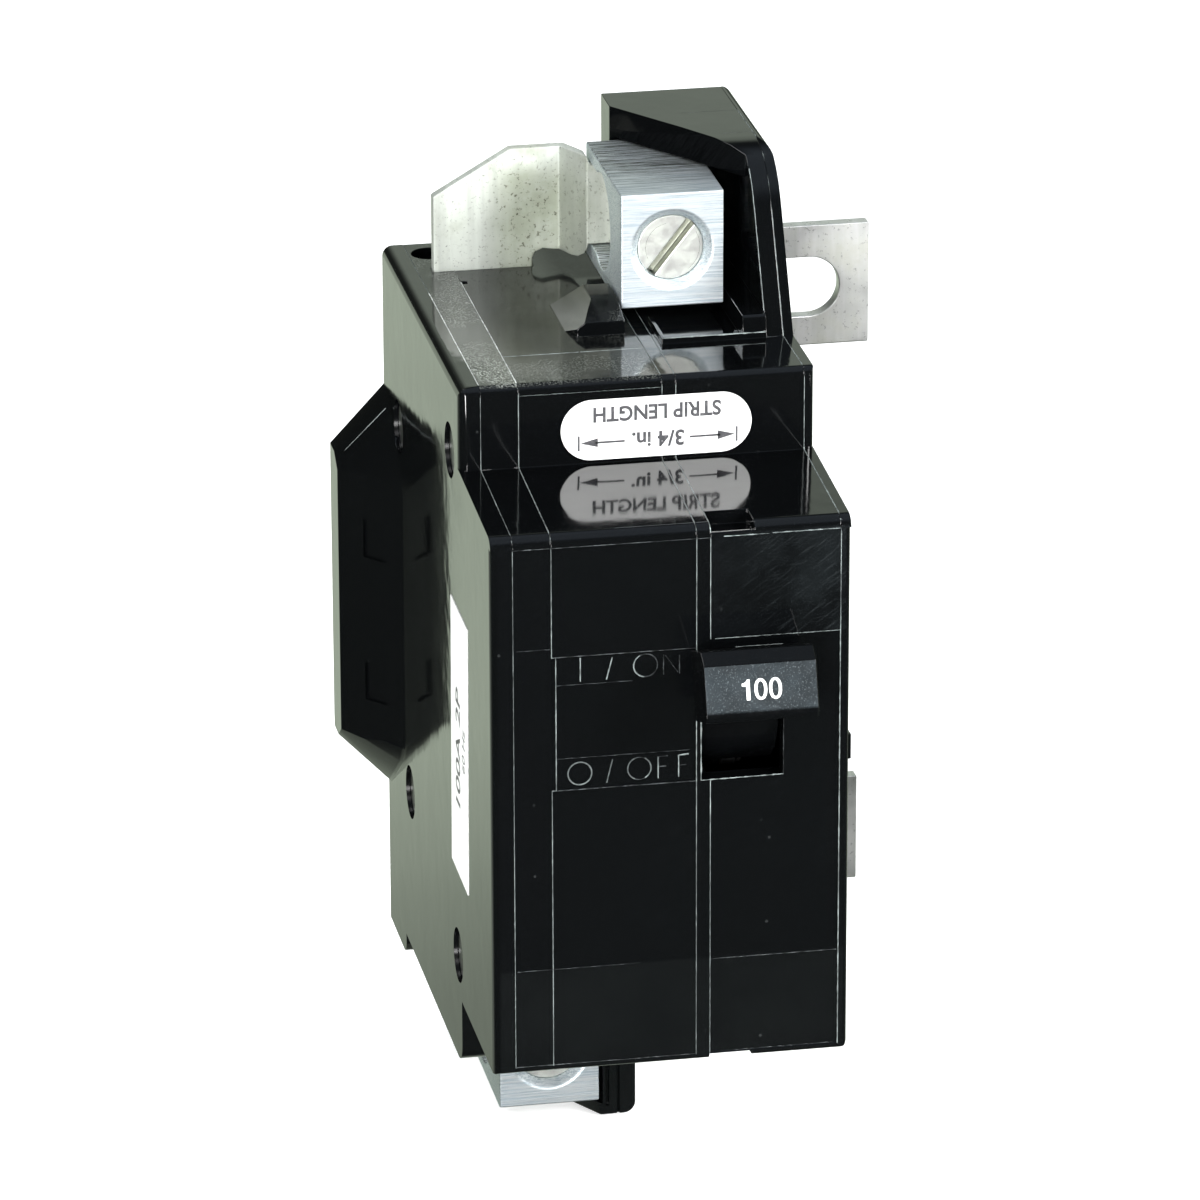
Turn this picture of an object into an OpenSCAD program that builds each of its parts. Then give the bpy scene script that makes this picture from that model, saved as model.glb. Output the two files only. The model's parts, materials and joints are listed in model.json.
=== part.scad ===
// Two-pole main circuit breaker, 100 A frame, drawn in millimetres.
// Every sub-part is drawn from the front, left, bottom corner of the front face
// (x right, y back, z up); at_frame() then puts the origin in the middle of the back face.

/* [Case] */
// Overall width of the case, over both side covers
case_w = 42.8; // [38:0.1:48]
// Depth from the front face to the back face
case_d = 76.6; // [70:0.1:85]
// Height of the top face above the bottom of the front face
top_z = 79.0; // [72:0.1:86]
// Bottom of the middle of the case, below the front face
mid_bottom = 8.4; // [6:0.1:10]
// Bottom of the rear toe of the case, below the front face
toe_bottom = 11.2; // [9:0.1:13]
// Depth where the bottom steps down behind the front block
step_y = 22.6; // [20:0.1:25]
// Depth where the rear toe starts
toe_y = 64.2; // [60:0.1:68]
// Setback of the upper front face that carries the gauge label
label_y = 20.9; // [18:0.1:24]
// Height of the inner end of the sloping shelf
shelf_in_z = 68.8; // [66:0.1:71]
// Height of the outer end of the sloping shelf
shelf_out_z = 67.7; // [65:0.1:70]
// Wall thickness of the case
wall = 2.6; // [1.8:0.1:3.2]
// Depth of the seam between the front cover and the rear block
cover_y = 31.8; // [28:0.1:36]

/* [Slices] */
// Right side of the left cover
x_cover_l = 2.6; // [2:0.05:3]
// Right side of the left case slice
x_case_l = 7.15; // [6:0.05:8]
// Left side of the centre divider
x_mid_a = 24.4; // [23:0.05:25]
// Right side of the centre divider
x_mid_b = 26.05; // [25.5:0.05:27]
// Left side of the right cover
x_cover_r = 41.6; // [41:0.05:42]

/* [Mounting foot] */
// How far the foot stands out from the left side
foot_out = 6.9; // [5:0.1:9]
// Lower end of the foot at the case wall
foot_z0 = 8.3; // [6:0.1:12]
// Upper end of the foot at the case wall
foot_z1 = 61.0; // [55:0.1:65]

/* [Handle] */
// Depth of the handle pivot behind the front face
pivot_y = 10.6; // [9:0.1:12]
// Height of the handle pivot
pivot_z = 44.1; // [42:0.1:46]
// Tilt of the handle above the middle when on, degrees
tilt = 18; // [12:0.5:20]
// Radius of the handle drum
drum_r = 9.3; // [8:0.1:10]
// Distance from the pivot to the grip face
grip_r = 20.6; // [18:0.1:22]
// Width of the grip
grip_w = 13.4; // [12:0.1:15]
// Height of the grip
grip_h = 6.1; // [5:0.1:7]

/* [Lugs] */
// Width of a lug along the wire
lug_w = 12.6; // [11:0.1:14]
// Depth of a lug
lug_d = 22.4; // [20:0.1:24]
// Height of a lug
lug_h = 14.3; // [13:0.1:16]
// Depth of the front of both lugs behind the front face
lug_y = 41.5; // [40:0.1:44]
// Left side of the upper lug
lug_up_x = 23.4; // [22:0.1:25]
// Bottom of the upper lug
lug_up_z = 80.7; // [80:0.1:82]
// Left side of the lower lug
lug_lo_x = 7.85; // [7:0.05:9]
// Bottom of the lower lug
lug_lo_z = -23.2; // [-25:0.1:-22]
// Radius of the wire hole
wire_r = 6.0; // [4:0.1:6.1]
// Radius of the lug screw
lug_screw_r = 4.0; // [3:0.05:4.2]
// Length of the lug screw
lug_screw_l = 5.2; // [4:0.1:6]
// How far the screw face sits inside the lug
lug_screw_in = 1.1; // [0.8:0.1:2]

/* [Bus tabs] */
// How far the tabs reach past the right side of the case
tab_out = 15.3; // [12:0.1:18]
// Front face of the tabs
tab_y = 60; // [58:0.1:62]
// Thickness of the tabs
tab_t = 2; // [1.6:0.1:2.5]
// Width of the open bolt slot in a tab
slot_w = 7.6; // [6.6:0.1:8]

/* [Mechanism] */
// Depth of the contact crossbar axis
bar_y = 50; // [48:0.1:52]
// Height of the contact crossbar axis
bar_z = 30; // [28:0.1:32]
// Radius of the crossbar
bar_r = 3.5; // [3:0.1:4]
// Crank radius that the drive link works on
crank_r = 8; // [7:0.1:9]
// Depth of the trip bar axis
trip_y = 44; // [42:0.1:46]
// Height of the trip bar axis
trip_z = 14; // [12:0.1:16]
// Middle of the left pole
pole_a = 14; // [12:0.1:16]
// Middle of the right pole
pole_b = 34.25; // [33:0.05:35]
// Radial clearance of the running fits
run = 0.05; // [0.03:0.01:0.1]

/* [Show] */
// One sub-part to show, or all

/* [Hidden] */
e = 0.01;
lug_up_b = lug_up_z + lug_h / 2;
lug_lo_b = lug_lo_z + lug_h / 2;
bore_y = lug_y + 12.8;
mid_z = (top_z - toe_bottom) / 2;
ca_y = crank_r * cos(-100);
ca_z = crank_r * sin(-100);
rivets = [[27.7, 69.2], [65.6, 59.0], [59.7, 12.7], [24.9, 5.2]];

// ---- helpers ----
module at_frame() translate([-case_w / 2, -case_d, -mid_z]) children();
module slice(x0, x1) translate([x0, 0, 0]) rotate([90, 0, 90]) linear_extrude(x1 - x0) children();
module rod_x(x0, x1, y, z, r) translate([x0, y, z]) rotate([0, 90, 0]) cylinder(h = x1 - x0, r = r, $fn = 48);
module rod_y(y0, y1, x, z, r) translate([x, y0, z]) rotate([-90, 0, 0]) cylinder(h = y1 - y0, r = r, $fn = 48);
module box(x0, x1, y0, y1, z0, z1) translate([x0, y0, z0]) cube([x1 - x0, y1 - y0, z1 - z0]);
function arc(cy, cz, r, a0, a1) = [for (i = [0:5]) [cy + r * cos(a0 + (a1 - a0) * i / 5),
  cz + r * sin(a0 + (a1 - a0) * i / 5)]];

// outline of the case seen from the side, y across and z up
module outline() polygon(concat(
  arc(0.8, 0.8, 0.8, 180, 270),
  [[step_y, 0]],
  arc(step_y + 2.6, 2.6 - mid_bottom, 2.6, 180, 270),
  [[toe_y, -mid_bottom]],
  arc(toe_y + 1.6, 1.6 - toe_bottom, 1.6, 180, 270),
  [[case_d, -toe_bottom], [case_d, top_z]],
  arc(label_y + 1.2, top_z - 1.2, 1.2, 90, 180),
  [[label_y, shelf_in_z]],
  arc(1.6, shelf_out_z - 1.6, 1.6, 93, 180)));

// inside of the poles, with posts left around the rivets
module hollow() difference() {
  polygon([[wall, wall], [step_y + wall, wall], [step_y + wall, wall - mid_bottom],
    [case_d - wall, wall - mid_bottom], [case_d - wall, top_z - wall],
    [label_y + wall, top_z - wall], [label_y + wall, shelf_in_z - wall],
    [wall, shelf_out_z - wall - 0.3]]);
  for (p = rivets) translate(p) circle(r = 3.0, $fn = 40);
  // ribs that tie the posts to the nearest wall
  translate([27.0, 70]) square([1.4, 8]);
  translate([66, 58.3]) square([9, 1.4]);
  translate([60, 12.0]) square([15, 1.4]);
}
module rivet_holes(x0, x1) for (p = rivets) rod_x(x0, x1, p[0], p[1], 1.5 + run);
// rounds an outer edge that runs along z (side = 1 left, -1 right)
module edge_z(x, y, z0, z1, r, side) translate([x, y, z0]) difference() {
  translate([side > 0 ? -1 : -r, -1, 0]) cube([r + 1, r + 1, z1 - z0]);
  translate([side * r, r, -1]) cylinder(h = z1 - z0 + 2, r = r, $fn = 32);
}
// rounds the outer top edge that runs along y
module edge_y(x, z, y0, y1, r, side) translate([x, y0, z]) difference() {
  translate([side > 0 ? -1 : -r, 0, -r]) cube([r + 1, y1 - y0, r + 1]);
  translate([side * r, -1, -r]) rotate([-90, 0, 0]) cylinder(h = y1 - y0 + 2, r = r, $fn = 32);
}

// ---- case slices ----
module foot_end() {
  // sloping end, then the facet that leans forward, then the narrow band
  translate([0, 0, foot_z1]) rotate([0, -47, 0]) translate([-30, 40, 0]) cube([60, 60, 20]);
  translate([0, 73, foot_z1 - 1]) rotate([26, -44, 0]) translate([-30, -30, 0]) cube([60, 60, 20]);
  translate([0, 62.7, 51.1]) rotate([0, 0, -50]) rotate([0, 10, 0]) rotate([62, 0, 0])
    translate([-30, -30, 0]) cube([60, 60, 20]);
}
module foot() difference() {
  translate([0, 0, foot_z0]) linear_extrude(foot_z1 - foot_z0)
    polygon([[1, 61.5], [0, 62.7], [-foot_out, 71], [-foot_out, case_d], [1, case_d]]);
  foot_end();
  translate([0, 0, foot_z0 + foot_z1]) mirror([0, 0, 1]) foot_end();
  // shallow windows in the slanted face
  for (z = [34.4 - 12, 34.4 + 7]) translate([-3.1, 66.4, z]) rotate([0, 0, -50.3])
    translate([-1.8, -0.4, 0]) cube([3.6, 0.8, 5]);
}
module left_cover() at_frame() color("#101114") {
  difference() {
    union() {
      difference() {
        slice(0, x_cover_l) outline();
        edge_z(0, 0, -1, shelf_out_z - 1.4, 1.3, 1);
        edge_z(0, label_y, shelf_in_z, top_z + 1, 1.3, 1);
        edge_y(0, top_z, label_y - 1, case_d + 1, 1.3, 1);
      }
      foot();
    }
    for (p = rivets) rod_x(-1, 1.5, p[0], p[1], 3.4);
    rivet_holes(-1, x_cover_l + 1);
  }
}
module left_case() at_frame() color("#101114") difference() {
  slice(x_cover_l, x_case_l) outline();
  slice(x_cover_l + 1.6, x_case_l + 1) hollow();
  // pocket seen in the top face, and the way out for the upper strap
  box(5.3, x_case_l + 1, 70.2, 74.8, top_z - 6, top_z + 1);
  translate([5.3, 72.5, top_z - 6]) cylinder(h = 7, r = 2.3, $fn = 40);
  box(4.45, x_case_l + 1, 65.1, 66.9, 60, top_z + 1);
  rivet_holes(0, 10);
  rod_x(0, 10, bar_y, bar_z, 1.8 + run);
  rod_x(0, 10, trip_y, trip_z, 1.4 + run);
}
module front_cover() at_frame() color("#0e0f12") difference() {
  intersection() {
    slice(x_case_l, x_mid_a) outline();
    box(0, 60, -1, cover_y, -20, 100);
  }
  slice(x_case_l - 1, x_mid_a + 1) hollow();
  rivet_holes(x_case_l - 1, x_mid_a + 1);
  // shallow panel with the switch position marks
  box(x_case_l + 0.5, x_mid_a + 1, -1, 0.25, 35.9, 52.6);
  box(x_case_l - 1, x_case_l + 0.5 + e, -1, 0.12, 35.9, 52.6);
}
module rear_block() at_frame() color("#101114") difference() {
  union() {
    difference() {
      intersection() {
        slice(x_case_l, x_mid_a) outline();
        box(0, 60, cover_y, 90, -20, 100);
      }
      slice(x_case_l - 1, x_mid_a + 1) hollow();
    }
    // hipped block beside the upper lug
    difference() {
      slice(16.2, 23.1) polygon([[37.3, top_z - e], [37.3, top_z + 1.7], [42.2, top_z + 3.1],
        [47.6, top_z + 3.1], [49.9, top_z - e]]);
      translate([16.2, 30, top_z]) rotate([0, -40, 0]) translate([-30, -2, 0]) cube([60, 30, 20]);
      translate([16.2, 39.6, top_z]) rotate([0, 0, -65]) translate([-30, -20, -5]) cube([60, 20, 20]);
    }
    // barrier and floor of the lower terminal
    box(20.9, 25.05, lug_y, 59, -25.2, -mid_bottom - 0.1);
    box(20.9, 24.4, lug_y, 59, -10, -mid_bottom + 1);
    translate([0, 0, -25.2]) linear_extrude(1.6)
      polygon([[25.05, lug_y], [20.6, lug_y], [9.4, 60], [9.4, 69.5], [25.05, 69.5]]);
    box(9.4, 25.05, 67.9, 69.5, -25.2, -toe_bottom - 0.1);
    box(9.4, 24.4, 67.9, 69.5, -14, -toe_bottom + 1);
  }
  translate([25.05, lug_y - 1, -25.2]) rotate([-90, 0, 0]) difference() {
    translate([-1.5, -1.5, 0]) cube([3, 3, 40]);
    translate([-1.5, -1.5, -1]) cylinder(h = 42, r = 1.5, $fn = 32);
  }
  // two grooves in the front of the barrier
  box(21.3, 21.7, lug_y - 1, lug_y + 0.5, -24, -12);
  box(22.7, 23.0, lug_y - 1, lug_y + 0.3, -26, -8);
  box(x_case_l - 1, 17.0, 65.1, 66.9, 60, top_z + 1);
  box(x_case_l - 1, 9.5, 70.2, 74.8, top_z - 6, top_z + 1);
  rivet_holes(x_case_l - 1, x_mid_a + 1);
  // notch at the back end of the seam
  box(x_case_l - 0.1, x_case_l + 0.8, 59.9, 60.9, top_z - 1, top_z + 1);
}
module window() box(24.9, 34.85, -1, 12, 35.9, 52.3);
module centre_divider() at_frame() color("#0e0f12") difference() {
  slice(x_mid_a, x_mid_b) outline();
  window();
  // pocket that clears the drum, then the shafts and the lower tab
  rod_x(25.0, 27, pivot_y, pivot_z, drum_r + 0.6);
  box(25.0, 27, -1, pivot_y, 35.9, 52.3);
  rod_x(20, 30, pivot_y, pivot_z, 1.5 + run);
  rod_x(20, 30, bar_y, bar_z, bar_r + 0.4);
  rod_x(20, 30, trip_y, trip_z, 2.6);
  box(20, 30, tab_y - 0.1, tab_y + tab_t + 0.1, -3.1, 8.6);
  rivet_holes(20, 30);
}
module shield_side(x0, x1) slice(x0, x1) polygon(concat(
  [[32.9, top_z - e], [39.9, 92.5], [40.8, 94.1], [41.9, 95.6], [43.3, 96.9], [45.1, 98.0],
    [47.4, 98.7], [49.8, 99.0]], [[70.4, 99.0], [70.4, top_z - e]]));
module right_case() at_frame() color("#0e0f12") difference() {
  union() {
    difference() {
      slice(x_mid_b, x_cover_r) outline();
      slice(x_mid_b - 1, x_cover_r - 1.8) hollow();
    }
    // bearing of the handle pin
    rod_x(34.95, 40.2, pivot_y, pivot_z, 3.4);
    // shield around the upper lug: right wall, back wall and roof
    shield_side(39.4, x_cover_r);
    box(26.5, 39.5, 64.9, 70.4, top_z - e, 99.0);
    // the roof runs out along the curve of the wall
    intersection() {
      shield_side(26.4, 40.2);
      translate([0, 0, 95.2]) linear_extrude(3.8)
        polygon([[26.5, 64.9], [33.3, 54.9], [38.0, 47.4], [39.9, 44.4], [40.1, 44.4], [40.1, 66],
          [26.5, 66]]);
    }
    // low kerb in front of the lug, and the block at the foot of the right wall
    box(26.7, 39.5, 32.7, 33.3, top_z - e, top_z + 0.75);
    box(26.7, 27.2, 33.2, 41.2, top_z - e, top_z + 0.75);
    slice(36.6, 39.5) polygon([[32.9, top_z - e], [33.0, top_z + 2.5], [33.3, top_z + 2.8],
      [65, top_z + 2.8], [65, top_z - e]]);
  }
  window();
  rod_x(20, 34.85, pivot_y, pivot_z, drum_r + 0.6);
  rod_x(20, 40.9, pivot_y, pivot_z, 1.5 + run);
  rod_x(39, 42, bar_y, bar_z, 1.8 + run);
  rod_x(39, 42, trip_y, trip_z, 1.4 + run);
  rod_x(39, 40.9, 12, 16, 1.2 + run);
  rivet_holes(20, 43);
  // ways out for the two tabs and for the lower strap
  box(39, 43, tab_y - 0.1, tab_y + tab_t + 0.1, -3.7, 8.6);
  box(39.3, 43, tab_y - 0.1, tab_y + tab_t + 0.1, 68.1, 83.8);
  box(27.4, 38.1, 65.1, 66.9, -20, 0);
  // notches at the ends of the front face, and the raised edge of the panel
  box(x_mid_b - 1, 31.3, 0.7, 4.4, shelf_out_z - 1.5, shelf_out_z + 2);
  box(x_mid_b - 1, 31.3, -1, 0.8, shelf_out_z - 0.95, shelf_out_z + 2);
  box(x_mid_b - 1, 31.2, -1, 10, -1, 0.7);
  box(x_mid_b - 1, x_cover_r + 1, -1, 0.15, 0.9, 53.6);
}
module right_cover() at_frame() color("#101114") difference() {
  union() {
    slice(x_cover_r, case_w) outline();
    shield_side(x_cover_r, case_w);
    // small stop on the side
    box(case_w - 0.5, case_w + 0.35, 0.6, 2.6, 36.9, 40.0);
  }
  edge_z(case_w, 0, -1, shelf_out_z - 1.4, 0.9, -1);
  edge_z(case_w, label_y, shelf_in_z, top_z - 0.2, 0.9, -1);
  // rounded outer edges of the shield and of the bottom front
  edge_y(case_w, 99.0, 30, 72, 1.2, -1);
  translate([case_w - 1.2, 70.4 - 1.2, top_z]) difference() {
    cube([3, 3, 40]);
    translate([0, 0, -1]) cylinder(h = 42, r = 1.2, $fn = 32);
  }
  translate([case_w - 1.2, -1, 1.2]) rotate([-90, 0, 0]) difference() {
    cube([3, 3, step_y + 1.01]);
    translate([0, 0, -1]) cylinder(h = step_y + 4, r = 1.2, $fn = 32);
  }
  for (p = rivets) rod_x(x_cover_r + 0.3, 44, p[0], p[1], 2.2);
  rivet_holes(40, 44);
  box(40, 44, tab_y - 0.1, tab_y + tab_t + 0.1, -3.7, 10.4);
  box(40, 44, tab_y - 0.1, tab_y + tab_t + 0.1, 68.1, 83.8);
}
module case_rivets() at_frame() color("#8d8f90") for (p = rivets) {
  rod_x(0.6, case_w - 0.3, p[0], p[1], 1.5);
  rod_x(0.55, 1.48, p[0], p[1], 3.1);
  rod_x(x_cover_r + 0.32, case_w - 0.05, p[0], p[1], 1.9);
}

// ---- handle ----
module at_pivot(a) translate([0, pivot_y, pivot_z]) rotate([a, 0, 0]) children();
module handle() at_frame() color("#1b1c1e") difference() {
  union() {
    at_pivot(-tilt) {
      // drum, only its front part
      intersection() {
        rod_x(25.25, 34.55, 0, 0, drum_r);
        box(20, 40, -20, -1.6, -20, 20);
      }
      rod_x(25.25, 34.55, 0, 0, 3.2);
      // stem and grip
      box(25.4, 34.4, -grip_r + 1.5, -2, -2.3, 2.3);
      slice(30.25 - grip_w / 2, 30.25 + grip_w / 2) polygon([[-grip_r, grip_h / 2],
        [-grip_r + 1.6, grip_h / 2 + 1.6], [-grip_r + 7, grip_h / 2 + 1.6],
        [-grip_r + 7, -grip_h / 2 - 0.6], [-grip_r + 0.6, -grip_h / 2 - 0.6], [-grip_r, -grip_h / 2]]);
    }
    // crank for the drive link
    slice(26.6, 28.6) translate([pivot_y, pivot_z]) rotate(-100)
      translate([0, -1.7]) square([crank_r, 3.4]);
    rod_x(26.6, 28.6, pivot_y + ca_y, pivot_z + ca_z, 2.0);
  }
  // room for the eye of the drive link
  rod_x(28.6, 31.6, pivot_y + ca_y, pivot_z + ca_z, 2.5);
  rod_x(20, 40, pivot_y, pivot_z, 1.5 + run);
  rod_x(20, 40, pivot_y + ca_y, pivot_z + ca_z, 1.2 + run);
}
module handle_pin() at_frame() color("#a6a8a8") rod_x(24.6, 40.8, pivot_y, pivot_z, 1.5);

// ---- terminals ----
module lug(x, z) {
  difference() {
    box(x, x + lug_w, lug_y, lug_y + lug_d, z, z + lug_h);
    rod_x(x - 1, x + lug_w + 1, bore_y, z + lug_h / 2, wire_r);
    // flat pocket behind the bore that takes the strap
    box(x - 1, x + lug_w + 1, bore_y + 2, lug_y + 20.6, z + 2.1, z + 12.4);
    rod_y(lug_y - 1, bore_y, x + lug_w / 2, z + lug_h / 2, lug_screw_r + run);
    translate([x + lug_w / 2, lug_y - e, z + lug_h / 2]) rotate([-90, 0, 0])
      cylinder(h = 1.0, r1 = 5.0, r2 = lug_screw_r + run, $fn = 48);
  }
}
module lug_screw(x, z, a) {
  y0 = lug_y + lug_screw_in;
  difference() {
    rod_y(y0, y0 + lug_screw_l, x + lug_w / 2, z + lug_h / 2, lug_screw_r);
    translate([x + lug_w / 2, y0, z + lug_h / 2]) rotate([0, a, 0])
      translate([-6, -1, -0.6]) cube([12, 2.6, 1.2]);
  }
}
module upper_lug() at_frame() color("#cfd3d6") lug(lug_up_x, lug_up_z);
module upper_lug_screw() at_frame() color("#d8dadb") lug_screw(lug_up_x, lug_up_z, -51.6);
module lower_lug() at_frame() color("#cfd3d6") lug(lug_lo_x, lug_lo_z);
module lower_lug_screw() at_frame() color("#d8dadb") lug_screw(lug_lo_x, lug_lo_z, -24);
module upper_strap() at_frame() color("#d9d8d2") {
  intersection() {
    translate([0, 0, 50]) linear_extrude(50) polygon([[4.55, 65.2], [20.3, 65.2], [22.8, 60.4],
      [35.4, 60.4], [35.4, 62.0], [23.3, 62.0], [21.05, 66.8], [4.55, 66.8]]);
    translate([0, 90, 0]) rotate([90, 0, 0]) linear_extrude(60) polygon([[4.55, 71.4],
      [16.9, 71.4], [16.9, 80.0], [17.2, 80.7], [18.2, 81.15], [19.4, 80.95], [21.4, 80.75],
      [22.0, 80.9], [22.6, 81.6], [23.0, 82.9], [35.4, 82.9], [35.4, 92.8], [23.3, 93.0],
      [22.8, 94.2], [14.2, 94.2], [4.55, 88.6]]);
  }
  // inside: jog forward, then down to the fixed contact
  box(7.6, 16.9, tab_y, 66.8, 71.4, 73.0);
  box(10, 18, tab_y, tab_y + 1.6, 47, 73.0);
}
module lower_strap() at_frame() color("#d9d8d2") {
  intersection() {
    translate([0, 0, -40]) linear_extrude(50) polygon([[38.0, 65.2], [27.4, 65.2], [24.9, 60.4],
      [8.4, 60.4], [8.4, 62.0], [23.95, 62.0], [26.45, 66.8], [38.0, 66.8]]);
    translate([0, 90, 0]) rotate([90, 0, 0]) linear_extrude(60) polygon([[38.0, -4.1],
      [27.5, -4.1], [27.5, -12.2], [8.4, -12.2], [8.4, -21.0], [34, -21.0], [38.0, -17.0]]);
  }
  box(29.5, 38.0, 33, 66, -5.5, -4.1);
}
module tab_end(z0, z1, zc) {
  x1 = case_w + tab_out;
  difference() {
    union() {
      box(case_w - 3.2, case_w + 0.4, tab_y, tab_y + tab_t - 0.1, z0, z1);
      box(case_w + 0.2, x1, tab_y, tab_y + tab_t, z0, z1);
    }
    rod_y(tab_y - 1, tab_y + tab_t + 1, x1 - 7.5, zc, slot_w / 2);
    box(x1 - 12.5, x1 - 7.5, tab_y - 1, tab_y + tab_t + 1, zc - slot_w / 2, zc + slot_w / 2);
    rod_y(tab_y - 1, tab_y + tab_t + 1, x1 - 12.5, zc, slot_w / 2);
  }
}
module upper_bus_tab() at_frame() color("#d9d8d2") {
  difference() {
    tab_end(68.2, 83.7, 75.8);
    box(case_w - 4, case_w - 3.2 + 0.9, tab_y - 1, tab_y + 4, 76.2, 90);
  }
  box(30.25, case_w - 3, tab_y, tab_y + tab_t - 0.1, 68.2, 75.6);
  box(30.25, 38.25, tab_y, tab_y + 1.6, 47, 70);
}
module lower_bus_tab() at_frame() color("#d9d8d2") {
  difference() {
    translate([-0.9, 0, 0]) tab_end(-3.6, 10.3, 3.35);
    box(case_w - 5, case_w - 1, tab_y - 1, tab_y + 4, 8.5, 20);
    box(case_w - 5, case_w + 0.2, tab_y + tab_t - 0.1, tab_y + 4, -10, 20);
  }
  box(9.5, case_w - 3, tab_y, tab_y + tab_t - 0.1, -3.0, 8.4);
  box(9.5, 18.5, 33, tab_y + tab_t, -5.5, -4.1);
  box(9.5, 18.5, tab_y, tab_y + tab_t, -5.5, 0);
}

// ---- contacts and crossbar ----
module crossbar() at_frame() color("#6b4a32") difference() {
  union() {
    rod_x(6.2, 39.2, bar_y, bar_z, bar_r);
    rod_x(3.0, 41.3, bar_y, bar_z, 1.8);
    // arm carriers
    for (x = [pole_a - 4.4, pole_a + 2.4]) rod_x(x, x + 2, bar_y, bar_z, 5.2);
    // crank for the drive link
    slice(26.6, 28.6) translate([bar_y, bar_z]) rotate(-100) translate([0, -1.7]) square([crank_r, 3.4]);
    rod_x(26.6, 28.6, bar_y + ca_y, bar_z + ca_z, 2.0);
  }
  rod_x(20, 40, bar_y + ca_y, bar_z + ca_z, 1.2 + run);
}
module contact_arm(x) difference() {
  union() {
    slice(x - 2.3, x + 2.3) polygon([[bar_y - 3, bar_z], [bar_y - 2.4, 42], [54.0, 53.6],
      [56.9, 53.6], [57.4, 49], [54.2, 44], [52.6, bar_z + 2]]);
    rod_x(x - 2.3, x + 2.3, bar_y, bar_z, 5.2);
  }
  rod_x(x - 3, x + 3, bar_y, bar_z, bar_r + 0.01);
}
module contact_arm_left() at_frame() color("#b87a4b") contact_arm(pole_a);
module contact_arm_right() at_frame() color("#b87a4b") contact_arm(pole_b);
module moving_contact(x) intersection() {
  box(x - 2.2, x + 2.2, 56.5, 58.65, 49.3, 53.4);
  difference() {
    box(x - 3, x + 3, 50, 60, 45, 56);
    slice(x - 3.5, x + 3.5) polygon([[bar_y - 3, bar_z], [bar_y - 2.4, 42], [54.0, 60],
      [56.85, 60], [56.95, 53.6], [57.45, 49], [54.2, 44], [52.6, bar_z + 2]]);
  }
}
module moving_contact_left() at_frame() color("#c9cacb") moving_contact(pole_a);
module moving_contact_right() at_frame() color("#c9cacb") moving_contact(pole_b);
module fixed_contact_left() at_frame() color("#c9cacb")
  box(pole_a - 2.6, pole_a + 2.6, 58.75, tab_y, 49, 54);
module fixed_contact_right() at_frame() color("#c9cacb")
  box(pole_b - 2.6, pole_b + 2.6, 58.75, tab_y, 49, 54);
// drawn as a stack of rings, one per turn
module rings_x(x, y, z, r, w, n, pitch) for (i = [0:n - 1])
  translate([x + i * pitch, y, z]) rotate([0, 90, 0])
    rotate_extrude($fn = 40) translate([r, 0]) circle(r = w, $fn = 16);
module contact_spring_left() at_frame() color("#9aa0a4")
  rings_x(pole_a + 5.0, bar_y, bar_z, bar_r + 0.42, 0.4, 4, 0.9);
module contact_spring_right() at_frame() color("#9aa0a4")
  rings_x(pole_b + 2.9, bar_y, bar_z, bar_r + 0.42, 0.4, 3, 0.8);

// ---- drive link, latch and trip bar ----
module drive_link() at_frame() color("#8f959b") difference() {
  union() {
    slice(29.0, 30.6) polygon([[pivot_y + ca_y - 0.6, pivot_z + ca_z - 1.7],
      [bar_y + ca_y - 0.6, bar_z + ca_z - 1.7], [bar_y + ca_y + 0.6, bar_z + ca_z + 1.7],
      [pivot_y + ca_y + 0.6, pivot_z + ca_z + 1.7]]);
    rod_x(29.0, 30.6, pivot_y + ca_y, pivot_z + ca_z, 2.0);
    rod_x(29.0, 30.6, bar_y + ca_y, bar_z + ca_z, 2.0);
  }
  rod_x(28, 32, pivot_y + ca_y, pivot_z + ca_z, 1.2 + run);
  rod_x(28, 32, bar_y + ca_y, bar_z + ca_z, 1.2 + run);
}
module handle_crank_pin() at_frame() color("#a6a8a8") {
  rod_x(26.7, 31.2, pivot_y + ca_y, pivot_z + ca_z, 1.2);
  rod_x(30.9, 31.3, pivot_y + ca_y, pivot_z + ca_z, 1.8);
}
module crossbar_crank_pin() at_frame() color("#a6a8a8") {
  rod_x(26.7, 31.2, bar_y + ca_y, bar_z + ca_z, 1.2);
  rod_x(30.9, 31.3, bar_y + ca_y, bar_z + ca_z, 1.8);
}
module latch_lever() at_frame() color("#8f959b") difference() {
  union() {
    slice(37.3, 39.3) polygon([[12, 13.2], [43, 17.75], [45.2, 17.75], [45.2, 20.4], [12, 18.8]]);
    rod_x(37.3, 39.3, 12, 16, 3.0);
  }
  rod_x(36, 40, 12, 16, 1.2 + run);
}
module latch_lever_pin() at_frame() color("#a6a8a8") rod_x(36.6, 40.8, 12, 16, 1.2);
module handle_spring() at_frame() color("#9aa0a4")
  rings_x(35.5, pivot_y, pivot_z, 3.84, 0.4, 4, 0.9);
module trip_bar() at_frame() color("#6b4a32") difference() {
  trip_bar_body();
  for (x = [pole_a, pole_b]) box(x - 4.0, x + 4.0, trip_y + 0.6, trip_y + 1.8, 0, trip_z - 0.6);
}
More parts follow.
